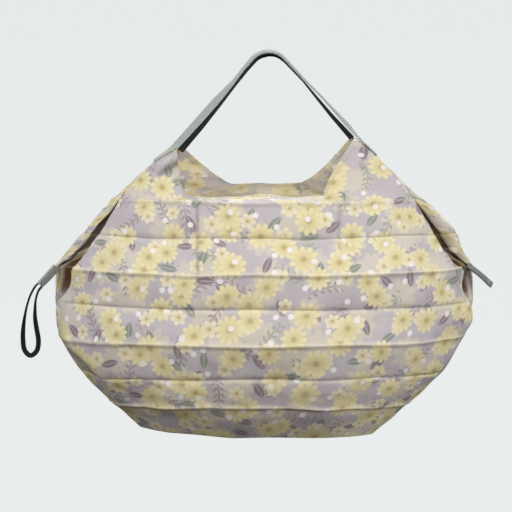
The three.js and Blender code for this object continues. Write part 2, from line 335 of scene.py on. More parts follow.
elasticLoop = {
    "width": 6.0, "thickness": 1.5, "stations": 190,
    # x, y, z and how far the braid is turned edge-on to the front
    "route": [
        (-273.4, -5.2, -270.6, 78), (-276.6, -5.2, -274.0, 78), (-280.6, -5.0, -280.6, 78),
        (-284.2, -5.0, -288.8, 80), (-287.4, -5.0, -299.6, 78), (-289.8, -5.0, -311.4, 68),
        (-291.6, -5.0, -325.0, 44), (-292.0, -5.0, -339.0, 24), (-290.2, -5.0, -351.0, 16),
        (-283.4, -5.0, -357.6, 14), (-275.6, -5.0, -352.0, 10), (-273.4, -5.0, -340.0, 6),
        (-275.4, -5.0, -326.0, 10), (-277.2, -5.0, -313.0, 32), (-277.2, -5.0, -301.0, 56),
        (-276.4, -4.6, -291.0, 68), (-274.6, -3.8, -283.4, 72), (-272.2, -3.2, -278.2, 70),
        (-269.0, -2.8, -274.8, 70),
    ],
}


def makeElasticLoop():
    line = smoothRoute(elasticLoop["route"], elasticLoop["stations"])
    centre, turn = line[:, :3], np.radians(line[:, 3])[:, None]
    along = unit(np.gradient(centre, axis=0))
    depth = np.array([0.0, 1.0, 0.0])
    level = unit(np.cross(along, depth))
    across = np.cos(turn) * level + np.sin(turn) * unit(np.cross(level, along))
    through = np.cross(along, across)
    section = webbingSection(elasticLoop["width"], elasticLoop["thickness"], 6)
    section[:, 0] -= elasticLoop["width"] / 2
    rings = bandRings(centre, section, across, through)
    lengths = lineLength(centre)
    piece = bandPiece("elasticLoop", rings, lengths, section[:, 0], elasticBraid)
    dress(piece, "elastic_loop")
    print("stage: elastic loop, %.0f mm of braid" % lengths[-1])


makeElasticLoop()

# the printed cloth

clothPrint = {
    "ground": ("cdc7cb", "bab3b8"), "mottle": 38,
    "ghost": "d7d0c0",
    "yellow": ("e4dcb6", "d4c899", "c3b585"),
    "cream": ("e6dfc8", "d8cdaa"),
    "sage": ("adb0a3", "969c90"),
    "mauve": ("aca0a6", "97888f"),
    "dot": "ebe8ea",
    # what painted shade in a tuck, a doubled hem, a painted highlight on a crease and painted shade in a
    # crease turn the print to
    "paintedTuckShade": "543610", "atHem": "b0b0a6", "paintedHighlight": "f3ecd2", "paintedCreaseShade": "6f6355",
    "edgeSoft": 1.1,
    # cell, jitter and turn of the grid that each motif is scattered on
    "grid": {"ghost": (52, 0.7, 2.1), "sprig": (54, 0.6, 0.75), "leaf": (34, 0.8, 1.3),
             "dot": (27, 0.85, 0.2)},
    "ghostSize": 22, "ghostPetals": 9.0, "ghostShare": 0.75,
    # length and width
    "stem": (27, 1.7), "leaflet": (4.8, 2.0), "leaf": (12.5, 5.2),
    "stemBow": -9.0, "leafletPitch": 8, "leafletRoot": (1, 0.8), "leafletAngle": -0.85,
    "leafletReach": 5.4, "sprigReach": 20, "dotEdge": (2.7, 4.2),
    # shares of sprigs and leaves that are mauve, of leaves left out, and of dots shown
    "sprigMauve": 0.6, "leafMauve": 0.45, "leafMissing": 0.35, "dotShown": 0.5,
    # grid, size, petals, colours, share shown
    "blossoms": [
        ((40, 0.6, 0.35), 11.0, 6.0, "cream", 0.85),
        ((61, 0.6, 2.6), 18.0, 11.0, "yellow", 0.9),
        ((49, 0.5, 1.05), 18.0, 10.0, "yellow", 0.92),
    ],
    "smallest": 0.78,
    # the weave is about 0.3 mm in life and is drawn at 1.6 mm so that it shows
    "weave": 1.6, "crinkle": 17,
}


# a shader group with named inputs and outputs
def newGroup(name, inputs, outputs):
    group = bpy.data.node_groups.new(name, "ShaderNodeTree")
    for way, names in (("INPUT", inputs), ("OUTPUT", outputs)):
        for socket in names:
            kind = "NodeSocketVector" if socket == "Flat" else "NodeSocketFloat"
            group.interface.new_socket(socket, in_out=way, socket_type=kind)
    return group, addNode(group, "NodeGroupInput").outputs


# one motif in each cell of a jittered grid on the flat cloth, each turned its own way
def scatterGroup():
    group, given = newGroup("motifScatter", ("Flat", "Cell", "Jitter", "Turn"),
                            ("Along", "Across", "Radius", "Angle", "Chance", "Tone"))
    turned = addNode(group, "ShaderNodeVectorRotate", {"rotation_type": "Z_AXIS"}, {
        "Vector": given["Flat"], "Angle": given["Turn"]}).outputs[0]
    cells = addNode(group, "ShaderNodeTexVoronoi", {"voronoi_dimensions": "2D"}, {
        "Vector": turned, "Scale": mathOf(group, "DIVIDE", 1.0, given["Cell"]),
        "Randomness": given["Jitter"]}).outputs
    local = addNode(group, "ShaderNodeVectorMath", {"operation": "SUBTRACT"}, {
        0: turned, 1: cells["Position"]}).outputs[0]
    chance = addNode(group, "ShaderNodeSeparateColor", inputs={0: cells["Color"]}).outputs
    spun = addNode(group, "ShaderNodeVectorRotate", {"rotation_type": "Z_AXIS"}, {
        "Vector": local, "Angle": mathOf(group, "MULTIPLY", chance[0], 2 * math.pi)})
    place = addNode(group, "ShaderNodeSeparateXYZ", inputs={0: spun.outputs[0]}).outputs
    radius = addNode(group, "ShaderNodeVectorMath", {"operation": "LENGTH"}, {0: local})
    addNode(group, "NodeGroupOutput", inputs={
        "Along": place[0], "Across": place[1], "Radius": radius.outputs["Value"],
        "Angle": mathOf(group, "ARCTAN2", place[1], place[0]), "Chance": chance[1], "Tone": chance[2]})
    return group


# a round blossom: scalloped petals, a fine line between petals and a small heart
def blossomGroup():
    group, given = newGroup("blossom", ("Radius", "Angle", "Size", "Petals", "Soft"),
                            ("Shape", "Shade", "Heart"))
    wave = mathOf(group, "COSINE", mathOf(group, "MULTIPLY", given["Angle"], given["Petals"]))
    lobe = mathOf(group, "MULTIPLY_ADD", wave, 0.5, 0.5, clamp=True)
    scallop = mathOf(group, "MULTIPLY_ADD", mathOf(group, "POWER", lobe, 0.45), 0.3, 0.7)
    rim = mathOf(group, "MULTIPLY", scallop, given["Size"])
    inner = mathOf(group, "SUBTRACT", rim, given["Soft"])
    outer = mathOf(group, "ADD", rim, given["Soft"])
    share = mathOf(group, "DIVIDE", given["Radius"], given["Size"])
    gap = smoothOf(group, lobe, 0.0, 0.3, 0.55, 0.0)
    deep = smoothOf(group, share, 0.15, 0.8, 0.8, 0.0)
    addNode(group, "NodeGroupOutput", inputs={
        "Shape": smoothOf(group, given["Radius"], inner, outer, 1.0, 0.0),
        "Shade": mathOf(group, "MAXIMUM", gap, deep),
        "Heart": smoothOf(group, share, 0.16, 0.26, 1.0, 0.0)})
    return group


# a pointed leaf along its own axis, with a pale rib down the middle
def leafGroup():
    group, given = newGroup("leaf", ("Along", "Across", "Length", "Width", "Soft"), ("Shape", "Rib"))
    share = mathOf(group, "DIVIDE", given["Along"], given["Length"])
    taper = mathOf(group, "SUBTRACT", 1.0, mathOf(group, "MULTIPLY", share, share))
    edge = mathOf(group, "MULTIPLY", taper, given["Width"])
    off = mathOf(group, "ABSOLUTE", given["Across"])
    inside = mathOf(group, "SUBTRACT", edge, off)
    addNode(group, "NodeGroupOutput", inputs={
        "Shape": smoothOf(group, inside, 0.0, given["Soft"], 0.0, 1.0),
        "Rib": smoothOf(group, off, 0.0, 1.0 * mm, 0.7, 0.0)})
    return group


scatter, blossom, leaf = scatterGroup(), blossomGroup(), leafGroup()


# the floral print in the flat cloth's own millimetres
def printColour(tree, flat):
    soft = clothPrint["edgeSoft"] * mm
    ground, mauve, sage = clothPrint["ground"], clothPrint["mauve"], clothPrint["sage"]

    def motifs(cell, jitter, turn):
        return addNode(tree, "ShaderNodeGroup", {"node_tree": scatter}, {
            "Flat": flat, "Cell": cell * mm, "Jitter": jitter, "Turn": turn}).outputs

    def flowerOf(cells, size, petals, edge):
        return addNode(tree, "ShaderNodeGroup", {"node_tree": blossom}, {
            "Radius": cells["Radius"], "Angle": cells["Angle"], "Size": size,
            "Petals": petals, "Soft": edge}).outputs

    def leafOf(along, across, length, width):
        return addNode(tree, "ShaderNodeGroup", {"node_tree": leaf}, {
            "Along": along, "Across": across, "Length": length * mm, "Width": width * mm,
            "Soft": soft}).outputs

    colour = blendOf(tree, noiseOf(tree, flat, clothPrint["mottle"], 3.0), ground[1], ground[0])

    # wide, faint blossoms that sit behind the rest
    cells = motifs(*clothPrint["grid"]["ghost"])
    ghost = flowerOf(cells, clothPrint["ghostSize"] * mm, clothPrint["ghostPetals"], 2 * soft)
    faint = mathOf(tree, "MULTIPLY", ghost["Shape"], clothPrint["ghostShare"])
    colour = blendOf(tree, faint, colour, clothPrint["ghost"])

    # curved sprigs with paired leaflets
    cells = motifs(*clothPrint["grid"]["sprig"])
    along, (rootAlong, rootUp) = cells["Along"], clothPrint["leafletRoot"]
    bow = mathOf(tree, "MULTIPLY", along, along)
    bent = mathOf(tree, "MULTIPLY_ADD", bow, clothPrint["stemBow"], cells["Across"])
    stem = leafOf(along, bent, *clothPrint["stem"])
    step = mathOf(tree, "FLOORED_MODULO", along, clothPrint["leafletPitch"] * mm)
    slant = addNode(tree, "ShaderNodeCombineXYZ", inputs={0: step, 1: mathOf(tree, "ABSOLUTE", bent)})
    lean = addNode(tree, "ShaderNodeVectorRotate", {"rotation_type": "Z_AXIS"}, {
        "Vector": slant.outputs[0], "Center": (rootAlong * mm, rootUp * mm, 0.0),
        "Angle": clothPrint["leafletAngle"]})
    leaflet = addNode(tree, "ShaderNodeSeparateXYZ", inputs={0: lean.outputs[0]}).outputs
    middle = mathOf(tree, "SUBTRACT", leaflet[0], clothPrint["leafletReach"] * mm)
    level = mathOf(tree, "SUBTRACT", leaflet[1], rootUp * mm)
    fern = leafOf(middle, level, *clothPrint["leaflet"])
    reach = mathOf(tree, "ABSOLUTE", along)
    ends = mathOf(tree, "LESS_THAN", reach, clothPrint["sprigReach"] * mm)
    sprig = mathOf(tree, "MAXIMUM", mathOf(tree, "MULTIPLY", fern["Shape"], ends), stem["Shape"])
    green = mathOf(tree, "GREATER_THAN", cells["Tone"], clothPrint["sprigMauve"])
    tint = blendOf(tree, green, mauve[0], sage[0])
    colour = blendOf(tree, sprig, colour, tint)

    # single pointed leaves
    cells = motifs(*clothPrint["grid"]["leaf"])
    blade = leafOf(cells["Along"], cells["Across"], *clothPrint["leaf"])
    green = mathOf(tree, "GREATER_THAN", cells["Tone"], clothPrint["leafMauve"])
    tint = blendOf(tree, green, mauve[1], sage[1])
    ribbed = blendOf(tree, blade["Rib"], tint, ground[0])
    some = mathOf(tree, "GREATER_THAN", cells["Chance"], clothPrint["leafMissing"])
    colour = blendOf(tree, mathOf(tree, "MULTIPLY", blade["Shape"], some), colour, ribbed)

    for grid, size, petals, hue, shown in clothPrint["blossoms"]:
        cells = motifs(*grid)
        grown = rangeOf(tree, cells["Tone"], 0.0, 1.0, clothPrint["smallest"] * size * mm, size * mm)
        flower = flowerOf(cells, grown, petals, soft)
        petal = blendOf(tree, flower["Shade"], clothPrint[hue][0], clothPrint[hue][1])
        centred = blendOf(tree, flower["Heart"], petal, clothPrint["yellow"][2])
        some = mathOf(tree, "LESS_THAN", cells["Chance"], shown)
        colour = blendOf(tree, mathOf(tree, "MULTIPLY", flower["Shape"], some), colour, centred)

    # white dots
    cells = motifs(*clothPrint["grid"]["dot"])
    spot = smoothOf(tree, cells["Radius"], *(edge * mm for edge in clothPrint["dotEdge"]), 1.0, 0.0)
    some = mathOf(tree, "LESS_THAN", cells["Chance"], clothPrint["dotShown"])
    return blendOf(tree, mathOf(tree, "MULTIPLY", spot, some), colour, clothPrint["dot"])


# thin polyester plain weave, printed on the face: soft sheen, crinkled, a little light comes through
def clothMaterial(name, wash, washColour, hemTint, letThrough):
    material, tree = newMaterial(name)
    flat = addNode(tree, "ShaderNodeUVMap", {"uv_map": "clothFlat"}).outputs[0]
    colour = printColour(tree, flat)
    # attribute, value from and to, share of the tint there: painted shade in tucks, the doubled hem's grey,
    # painted highlights and painted shade along creases
    for key, fromMin, fromMax, toMin, toMax, tint in (
        ("tuck", 0.0, 1.0, 0.0, 1.0, "paintedTuckShade"), ("hem", 0.0, 1.0, 0.0, hemTint, "atHem"),
        ("creaseHighlightAndShade", 0.0, 1.0, 0.0, 0.55, "paintedHighlight"), ("creaseHighlightAndShade", -1.0, 0.0, 0.5, 0.0, "paintedCreaseShade"),
    ):
        value = addNode(tree, "ShaderNodeAttribute", {"attribute_name": key}).outputs["Fac"]
        share = rangeOf(tree, value, fromMin, fromMax, toMin, toMax)
        colour = blendOf(tree, share, colour, clothPrint[tint])
    if wash:
        colour = blendOf(tree, wash, colour, washColour)
    warp, weft = (bandsOf(tree, flat, way, clothPrint["weave"], 0.5) for way in ("X", "Y"))
    fine = addNode(tree, "ShaderNodeBump", inputs={
        "Strength": 0.12, "Distance": 0.2 * mm, "Height": mathOf(tree, "MULTIPLY", warp, weft)})
    crinkle = noiseOf(tree, flat, clothPrint["crinkle"], 4.0, 0.55)
    bump = addNode(tree, "ShaderNodeBump", inputs={
        "Strength": 0.35, "Distance": 1.6 * mm, "Height": crinkle, "Normal": fine.outputs[0]}).outputs[0]
    shader = addNode(tree, "ShaderNodeBsdfPrincipled", inputs={
        "Base Color": colour, "Roughness": rangeOf(tree, crinkle, 0.0, 1.0, 0.52, 0.68),
        "Specular IOR Level": 0.2, "Sheen Weight": 0.12, "Sheen Roughness": 0.45, "Normal": bump})
    through = addNode(tree, "ShaderNodeBsdfTranslucent", inputs={"Color": colour, "Normal": bump})
    mixed = addNode(tree, "ShaderNodeMixShader", inputs={
        0: letThrough, 1: shader.outputs[0], 2: through.outputs[0]})
    addNode(tree, "ShaderNodeOutputMaterial", inputs={"Surface": mixed.outputs[0]})
    return material


clothFace = clothMaterial("printedPolyesterFace", 0.0, "ffffff", 0.15, 0.28)
clothReverse = clothMaterial("printedPolyesterReverse", 0.4, "fbf7ea", 0.15, 0.45)
print("stage: printed cloth ready")

# sewing thread: fine matt polyester, a shade paler than what it holds
def threadMaterial():
    material, tree = newMaterial("sewingThreadGrey")
    where = addNode(tree, "ShaderNodeTexCoord").outputs["Object"]
    twist = addNode(tree, "ShaderNodeTexNoise", inputs={"Vector": where, "Scale": 1 / (0.8 * mm)})
    yarn = addNode(tree, "ShaderNodeBsdfPrincipled", inputs={
        "Base Color": blendOf(tree, twist.outputs[0], "b9b4a8", "d4cfc2"), "Roughness": 0.7,
        "Specular IOR Level": 0.2})
    addNode(tree, "ShaderNodeOutputMaterial", inputs={"Surface": yarn.outputs[0]})
    return material


# one spindle of thread at each pitch along a seam line
def stitchTree():
    tree = bpy.data.node_groups.new("runningStitch", "GeometryNodeTree")
    for name, kind in (("Seam", "Geometry"), ("Pitch", "Float"), ("Length", "Float"), ("Thread", "Float"),
                       ("Sway", "Float"), ("Seed", "Int"), ("Yarn", "Material")):
        tree.interface.new_socket(name, in_out="INPUT", socket_type="NodeSocket" + kind)
    tree.interface.new_socket("Stitches", in_out="OUTPUT", socket_type="NodeSocketGeometry")
    given = addNode(tree, "NodeGroupInput").outputs
    line = addNode(tree, "GeometryNodeMeshToCurve", inputs={"Mesh": given["Seam"]})
    spaced = addNode(tree, "GeometryNodeResampleCurve", {"mode": "LENGTH"}, {
        "Curve": line.outputs[0], "Length": given["Pitch"]})
    along = addNode(tree, "GeometryNodeInputTangent")
    reach = addNode(tree, "ShaderNodeCombineXYZ", inputs={
        0: given["Sway"], 1: given["Sway"], 2: given["Sway"]})
    back = addNode(tree, "ShaderNodeVectorMath", {"operation": "SCALE"}, {
        0: reach.outputs[0], "Scale": -1.0})
    stray = addNode(tree, "FunctionNodeRandomValue", {"data_type": "FLOAT_VECTOR"}, {
        0: back.outputs[0], 1: reach.outputs[0], "Seed": given["Seed"]})
    aim = addNode(tree, "ShaderNodeVectorMath", {"operation": "ADD"}, {
        0: along.outputs[0], 1: stray.outputs[0]})
    turn = addNode(tree, "FunctionNodeAlignRotationToVector", {"axis": "X"}, {"Vector": aim.outputs[0]})
    spindle = addNode(tree, "GeometryNodeMeshIcoSphere", inputs={"Radius": 0.5, "Subdivisions": 2})
    size = addNode(tree, "ShaderNodeCombineXYZ", inputs={
        0: given["Length"], 1: given["Thread"], 2: given["Thread"]})
    placed = addNode(tree, "GeometryNodeInstanceOnPoints", inputs={
        "Points": spaced.outputs[0], "Instance": spindle.outputs[0], "Rotation": turn.outputs[0],
        "Scale": size.outputs[0]})
    real = addNode(tree, "GeometryNodeRealizeInstances", inputs={0: placed.outputs[0]})
    smooth = addNode(tree, "GeometryNodeSetShadeSmooth", inputs={0: real.outputs[0]})
    dyed = addNode(tree, "GeometryNodeSetMaterial", inputs={
        0: smooth.outputs[0], "Material": given["Yarn"]})
    addNode(tree, "NodeGroupOutput", inputs={0: dyed.outputs[0]})
    return tree


sewing = {
    "pitch": 3.4, "length": 2.7, "thread": 0.75, "sway": 0.05,
    "tree": stitchTree(), "yarn": threadMaterial(),
    "hemDrop": 5.2, "hemProud": 0.25, "hemMargin": 4, "webbingProud": 0.2,
}


# sews along lines given in millimetres, and keeps the stitches as one plain mesh
def sew(name, lines, seed):
    points, edges = [], []
    for line in lines:
        edges += [(len(points) + i, len(points) + i + 1) for i in range(len(line) - 1)]
        points += [tuple(q) for q in np.asarray(line) * mm]
    mesh = bpy.data.meshes.new(name + "Line")
    mesh.from_pydata(points, edges, [])
    guide = linkObject(name + "Line", mesh)
    maker = guide.modifiers.new("stitches", "NODES")
    maker.node_group = sewing["tree"]
    sockets = {item.name: item.identifier for item in sewing["tree"].interface.items_tree}
    for key, value in (("Pitch", sewing["pitch"] * mm), ("Length", sewing["length"] * mm),
                       ("Thread", sewing["thread"] * mm), ("Sway", sewing["sway"]),
                       ("Seed", seed), ("Yarn", sewing["yarn"])):
        maker[sockets[key]] = value
    done = bpy.data.meshes.new_from_object(guide.evaluated_get(bpy.context.evaluated_depsgraph_get()))
    done.name = name
    bpy.data.objects.remove(guide)
    piece = linkObject(name, done)
    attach(piece, "root")
    print("stage: %s, %d faces of thread" % (name, len(done.polygons)))


# the two panels: pleated shells that fill out and sag
firstRidge, pleatPitch, baseLevel = -170.0, 40.5, -443.0
pleat = [firstRidge - pleatPitch * step for step in range(7)]

# soft folds pulled by the handle and the tabs on both panels: width, lift, then points x, z
pulledFolds = [
    (9, 2.0, (-118, -128), (-150, -205)), (9, 2.0, (118, -120), (152, -205)),
    (7, 1.2, (-228, -262), (-160, -240)), (8, 1.0, (-228, -276), (-175, -318)),
    (7, 1.2, (224, -262), (160, -240)), (8, 1.0, (222, -276), (170, -318)),
]

sideSeam = {
    # left, right, level at the left, level at the right: one row for each fold, rim to base
    "rows": [
        (-104, 106, -109, -96), (-141, 140, -131, -126),
        (-170, 171, pleat[0], pleat[0]), (-190, 190, pleat[1], pleat[1]),
        (-246, 241, pleat[2], pleat[2]), (-251, 245, pleat[3], pleat[3]),
        (-246, 236, pleat[4], pleat[4]), (-223, 213, pleat[5], pleat[5]),
        (-186, 171, pleat[6] + 6, pleat[6] + 2), (-150, 126, baseLevel + 5.5, baseLevel - 3),
        (-148, 124, baseLevel + 5.5, baseLevel - 3),
    ],
    # level, left, right: along the shoulder the seam is drawn in behind, and it comes out at the tab
    "drawnIn": [
        (-170, -166, 167), (-190, -172, 172), (-210, -180, 181), (-225, -192, 194),
        (-235, -214, 212), (-243, -236, 232), (-251, -246, 241),
    ],
}

frontPanel = {
    "name": "frontCloth", "node": "front_panel", "side": -1, "seed": 11, "printShift": (0, 0),
    # left, right, level, depth, edge, box
    "folds": [
        (-106, 105, -165, 26, 11, 2.0), (-140, 139, -168, 46, 11, 2.2),
        (-175, 177, pleat[0], 66, 9, 2.4), (-204, 206, pleat[1], 77, 14, 2.6),
        (-230, 233, pleat[2], 102, 24, 2.8), (-251, 248, pleat[3], 104, 10, 3.0),
        (-247, 237, pleat[4], 117, 10, 3.2), (-223, 213, pleat[5], 108, 18, 3.4),
        (-186, 171, pleat[6] + 7, 98, 30, 4.0), (-150, 126, baseLevel - 3.8, 68, 45, 6.0),
    ],
    # by fold: the share of the width that stays level, and how the rest climbs, at the left and right
    "climbs": {0: ((0.8, 7.0), (0.65, 0.75)), 1: ((0.66, 2.2), (0.5, 1.2)), 9: ((0.2, 1.1), (0.5, 1.5))},
    # level, how far the left and right ends stand out past the folds' straight line
    "ends": [
        (-170, 0, 0), (-180, -1.5, -1), (-191, -2, -2), (-210, -4, -4), (-230, -4, -7), (-246, -1, -6),
        (-254, -1, 1), (-261, -5, -1), (-267, -8, -5), (-274, -10, -8), (-283, -9, -8),
        (-292, -2, -5), (-303, 0, 2), (-315, 0, 5), (-330, 0, 0),
    ],
    # level, how far a tuck runs in behind the ends, how dark the painted shade is inside
    "tuck": [
        (-165, 0, 0), (-182, 4, 0.4), (-200, 9, 1), (-240, 16, 1), (-262, 20, 1),
        (-276, 14, 0.9), (-288, 5, 0.35), (-300, 0, 0),
    ],
    # the stretch of painted shade on the way from the seam to the edge
    "darkShare": (-0.03, 0.97),
    "pulls": pulledFolds + [
        (8, 1.4, (-104, -140), (-96, -196)), (5, 2.4, (-130, -132), (-106, -120)),
        (8, 1.4, (104, -130), (98, -196)),
    ],
    # lines pressed into the cloth: width, depth, then points x, z
    "pressed": [
        (1.6, 1.1, (-81, -176), (-79, -263)), (1.6, 0.8, (85, -172), (85, -222)),
        (2.6, 1.6, (-126, -139), (-115, -133), (-107, -127)),
        (2.4, 0.7, (121, -108), (117, -118), (113, -132)),
    ],
    # lift and line of the crests between the face and the side facets low down
    "crests": [
        (12, [(-240, -330), (-199, -359), (-186, -376), (-173, -405), (-141, -441)]),
        (4, [(188, -392), (207, -368), (225, -346), (243, -322)]),
    ],
}

backPanel = {
    "name": "backCloth", "node": "back_panel", "side": 1, "seed": 23, "printShift": (730, 510),
    "folds": [
        (-98, 101, -154, 64, 11, 2.0), (-140, 139, -162, 65, 11, 2.2),
        (-182, 190, pleat[0], 66, 9, 2.4), (-216, 229, pleat[1], 77, 12, 2.6),
        (-252, 246, pleat[2], 102, 14, 2.8), (-254, 248, pleat[3], 104, 10, 3.0),
        (-247, 237, pleat[4], 115, 10, 3.2), (-223, 213, pleat[5], 108, 18, 3.4),
        (-186, 171, pleat[6] + 7, 98, 30, 4.0), (-150, 126, baseLevel - 3.8, 68, 45, 6.0),
    ],
    "climbs": {0: ((0.43, 1.3), (0.41, 1.35)), 1: ((0.45, 1.5), (0.45, 1.5)), 9: ((0.2, 1.1), (0.5, 1.5))},
    "ends": [
        (-140, 0, 0), (-152, 0, -3), (-165, 2, -3), (-178, 5, 3), (-190, 5, 3), (-205, 5, 2), (-225, 4, 0),
        (-240, 4, 3), (-252, 2, 3), (-285, 0, 2), (-300, 0, 2), (-315, 0, 5), (-330, 0, 0),
    ],
    "tuck": [(-172, 0, 0), (-184, 0, 0.6), (-196, 0, 0.85), (-245, 0, 0.85), (-258, 0, 0.5), (-272, 0, 0)],
    # level, how far the cloth wraps round to the front at the left and right before it turns in to the seam
    "wrap": [
        (-158, 0, 0), (-168, 8, 11), (-176, 11, 15), (-184, 12.5, 17.5), (-192, 12, 20), (-200, 11, 21),
        (-212, 12, 21), (-228, 12, 17), (-240, 9, 13), (-250, 3, 4), (-258, 0, 0),
    ],
    "darkShare": (-0.2, 0.56),
    # level, how deep in shade the lip lies at the left and right
    "shade": [
        (-172, 0, 0), (-184, 0, 0.5), (-205, 0.2, 0.75), (-225, 0.2, 0.8), (-240, 0.1, 0.6), (-250, 0, 0),
    ],
    "pulls": pulledFolds,
    "pressed": [(1.6, 0.8, (-81, -176), (-79, -263)), (1.6, 0.8, (85, -172), (85, -222))],
    "crests": [
        (5, [(-240, -330), (-205, -362), (-180, -405), (-150, -441)]),
        (5, [(141, -441), (180, -398), (207, -368), (243, -322)]),
    ],
}

panelCloth = {
    "faceColumns": 160, "columnCrowd": 0.3, "endColumns": 18, "thickness": 0.8,
    "rowShares": (0.0, 0.015, 0.04, 0.08, 0.15, 0.27, 0.4, 0.5, 0.6, 0.73, 0.85, 0.92, 0.96, 0.985),
    # across, wavelength, height and seed of the waves along a fold, in depth and in level
    "foldWaves": [(0, 150, 1.2, 0), (50, 130, 0.9, 40)], "waveSpan": 240, "baseWave": 0.4, "waveFade": 4,
    "belly": 1.5, "ridgeLip": 1.3, "valleyLip": 1.0, "lipReach": 2.4,
    # width of the painted highlight or shade line at a fold, and the drop and width of the second painted
    # line below it
    "foldLine": (1.2, 2.8, 1.3), "crestLine": (1.2, 3.2, 2.0),
    # how strong those two painted lines are on a ridge, in a valley and on a crest: above 0 painted
    # highlight, below 0 painted shade
    "ridgePale": (1.0, -0.7), "valleyPale": (-0.8, 0.5), "crestPale": (0.5, -0.7), "firstRidgePale": 0.5,
    "crestFace": 40.0, "crestSide": 12.0, "crestLevels": (20, 50),
    # stretch, wavelength, height and seed of the loose ripples
    "ripples": [(1.6, 75, 0.9, 3), (2.2, 34, 0.35, 5)], "looseRise": 25,
    # threads of cloth drawn across the tucks, each pinched up with a painted highlight
    "crossFolds": [((-237, -241), (-208, -228)), ((214, -234), (230, -229))],
    "pinchWidth": 1.5, "pinchLift": 2.0, "pinchPale": 2.2, "tuckEdge": 3,
    "seamCalm": 40.0, "seamDip": (0.8, 2.4), "seamHold": 1.8,
    # share of the way from edge to seam, and share of the edge's depth
    "plainTurn": [(0.66, 0.35), (0.33, 0.7)],
    # share of the way from seam to the depth of a tuck, and share of the edge's depth
    "tuckTurn": [(0.6, 0.1), (1.0, 0.35)],
    "wrapForward": 4.0, "grooveBack": 6.0, "grooveIn": 3.0, "fullTurn": 7.0,
    "endHold": 0.6, "darkFade": 0.12, "lipShade": (0.95, 0.45), "cornerColumns": 4,
    "hemHeight": 6.5, "hemSwell": 0.4, "hemFade": 0.8,
    "flat": (0.60, 0.42), "flatArea": 0.20,
}


def table(rows, at, column):
    rows = np.array(sorted(rows), dtype=float)
    return np.interp(at, rows[:, 0], rows[:, column])


# the face of one fold, from its left end to its right end
def foldFace(panel, i, wave):
    left, right, level, depth, edge, box = panel["folds"][i]
    even = np.linspace(-1, 1, panelCloth["faceColumns"])
    share = lerp(even, np.sin(even * math.pi / 2), panelCloth["columnCrowd"])
    out = np.abs(share)
    climbLeft, climbRight = panel["climbs"].get(i, ((0, 1), (0, 1)))
    flat = np.where(share < 0, climbLeft[0], climbRight[0])
    bend = np.where(share < 0, climbLeft[1], climbRight[1])
    climb = np.clip((out - flat) / (1 - flat), 0, 1) ** bend
    ends = np.where(share < 0, *sideSeam["rows"][i][2:])
    calm = np.clip((1 - out) * panelCloth["waveFade"], 0, 1)
    return np.stack([
        lerp(left, right, (share + 1) / 2),
        panel["side"] * (edge + (depth - edge) * (1 - out ** box) + wave[0] * calm),
        lerp(level, ends, climb) + wave[1] * calm], axis=1)


# the facets between the folds, as close rows that crowd towards each fold
def panelFace(panel):
    side, seams = panel["side"], np.array(sideSeam["rows"], dtype=float)
    even = np.linspace(-1, 1, panelCloth["faceColumns"])
    lines = []
    for i in range(len(panel["folds"])):
        reach = panelCloth["baseWave"] if i == len(panel["folds"]) - 1 else 1.0
        wave = [rolling(panelCloth["waveSpan"] * even, 0 * even + off, size, panel["seed"] + seed + i)
                * height * reach for off, size, height, seed in panelCloth["foldWaves"]]
        line = foldFace(panel, i, wave)
        lines.append(evenLine(line, len(line)) if i < 2 else line)
    base = lines[-1].copy()
    base[:, 0] = np.clip(base[:, 0], seams[-1][0], seams[-1][1])
    base[:, 1] = 0
    lines.append(base)
    rows, seamRows = [], []
    for i in range(len(lines) - 1):
        for w in panelCloth["rowShares"]:
            if i < 2:  # rim, strap foot and first ridge lie on one smooth facet
                t = (i + w) / 2
                mix = np.array([(2 * t - 1) * (t - 1), 4 * t * (1 - t), t * (2 * t - 1)])
                row = mix[0] * lines[0] + mix[1] * lines[1] + mix[2] * lines[2]
                seam = mix @ seams[:3]
            else:
                row = lerp(lines[i], lines[i + 1], w)
                seam = lerp(seams[i], seams[i + 1], w)
            if 2 <= i < len(lines) - 2:
                row[:, 1] += side * panelCloth["belly"] * 4 * w * (1 - w)
            rows.append(row)
            seamRows.append(seam)
    return np.array(rows + [lines[-1]]), np.array(seamRows + [seams[-1]])


# the cloth that turns from one end of the face back to the seam, seam first
def turnedEnd(panel, edge, seam, column, inward):
    side, level = panel["side"], edge[2]
    seamX = seam[column - 1]
    if sideSeam["drawnIn"][-1][0] < level < sideSeam["drawnIn"][0][0]:
        seamX = table(sideSeam["drawnIn"], level, column)
    plain = np.array([(lerp(edge[0], seamX, out), edge[1] * deep, level)
                      for out, deep in panelCloth["plainTurn"]])
    middle = plain
    if "wrap" in panel:  # a lip stands forward, with a groove between it and the seam
        wrap = table(panel["wrap"], level, column)
        lip = edge[0] + inward * wrap
        folded = np.array([(lip + inward * panelCloth["grooveIn"], side * panelCloth["grooveBack"], level),
                           (lip, -side * panelCloth["wrapForward"], level)])
        middle = lerp(plain, folded, np.clip(wrap / panelCloth["fullTurn"], 0, 1))
    elif inward * (seamX - edge[0]) < 0:  # the cloth runs in behind the edge and out again to the seam
        pocket = table(panel["tuck"], level, 1)
        folded = np.array([(lerp(seamX, edge[0] + inward * pocket, out), edge[1] * deep, level)
                           for out, deep in panelCloth["tuckTurn"]])
        middle = lerp(plain, folded, np.clip(pocket / panelCloth["fullTurn"], 0, 1))
    route = [(seamX, 0, seam[column + 1]), *middle, tuple(edge)]
    return smoothRoute(route, panelCloth["endColumns"] + 1)[:-1]
